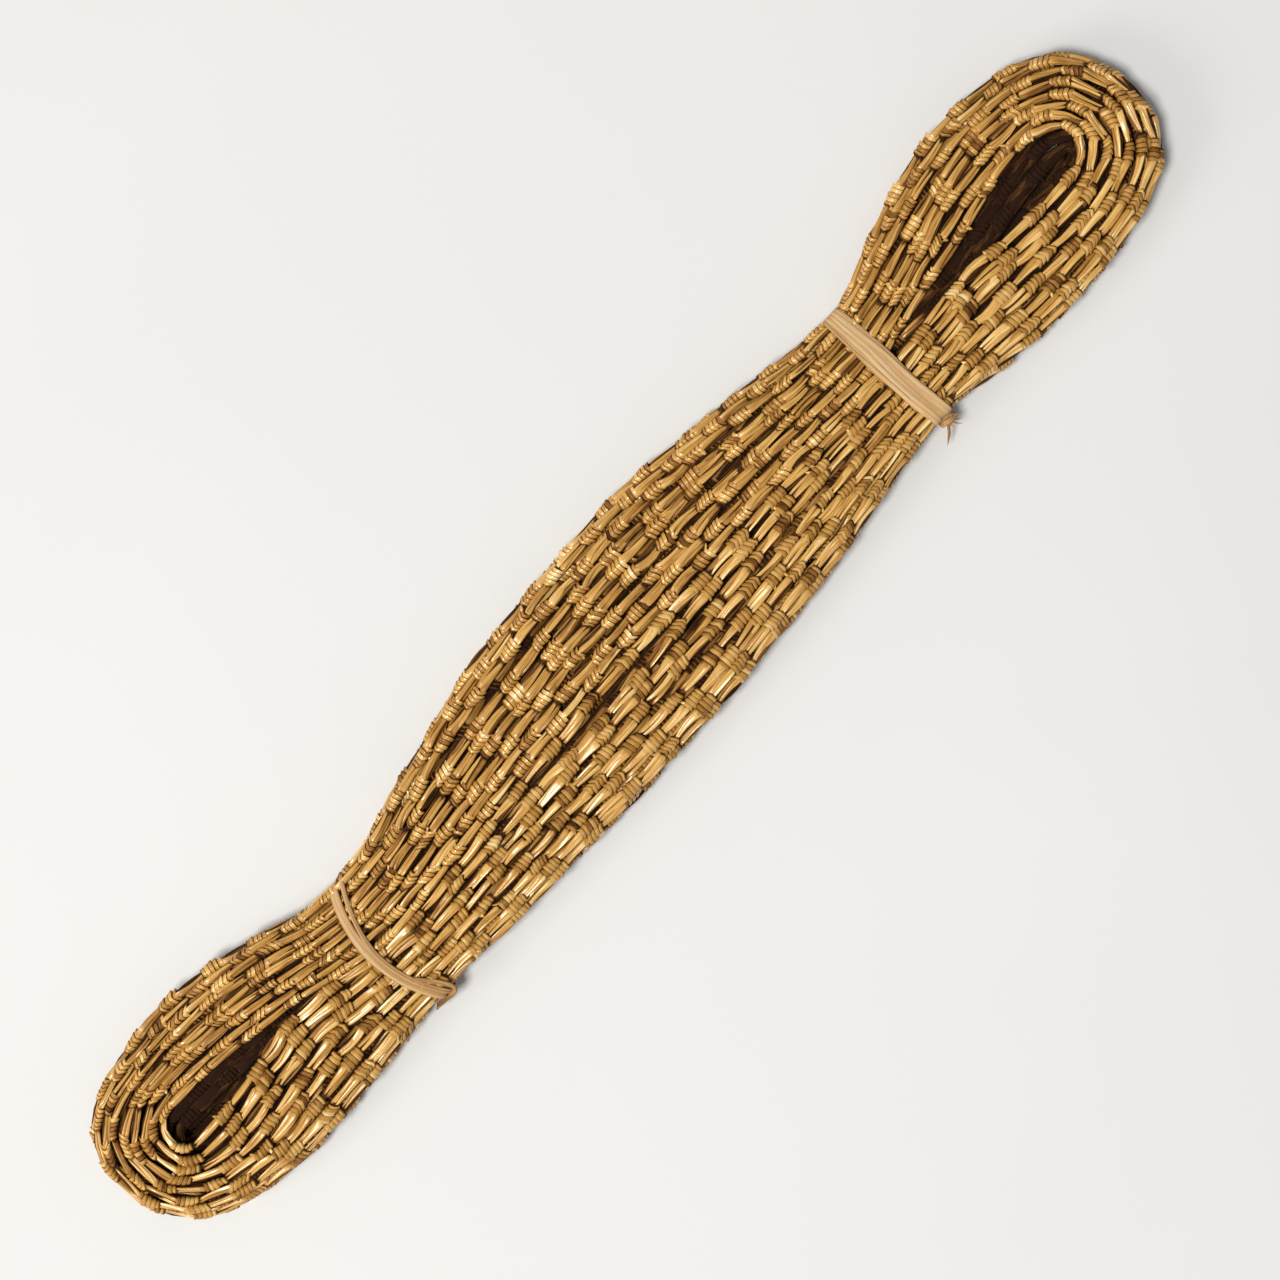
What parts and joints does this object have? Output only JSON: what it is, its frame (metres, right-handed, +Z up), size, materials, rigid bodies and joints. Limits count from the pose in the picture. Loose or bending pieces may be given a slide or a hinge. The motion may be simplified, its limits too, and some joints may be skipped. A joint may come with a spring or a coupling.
{
  "type": "hank of plaited straw cord",
  "caption": "Long flat oval hank of plaited natural straw cord, wound on itself and tied round in two places with strips of bast.",
  "frame": {"origin": "middle of the underside, on the surface that the hank lies on", "axes": "+X along the hank towards the wide tie, +Y across it, +Z up from the surface"},
  "size_m": [0.47, 0.071, 0.0152],
  "materials": {
    "plaited_straw": "satin",
    "wide_bast_strip": "matte",
    "narrow_bast_strip": "matte"
  },
  "bodies": {
    "root": {"straw_cord_hank": "plaited_straw", "wide_tie": "wide_bast_strip", "narrow_tie": "narrow_bast_strip"}
  },
  "joints": []
}
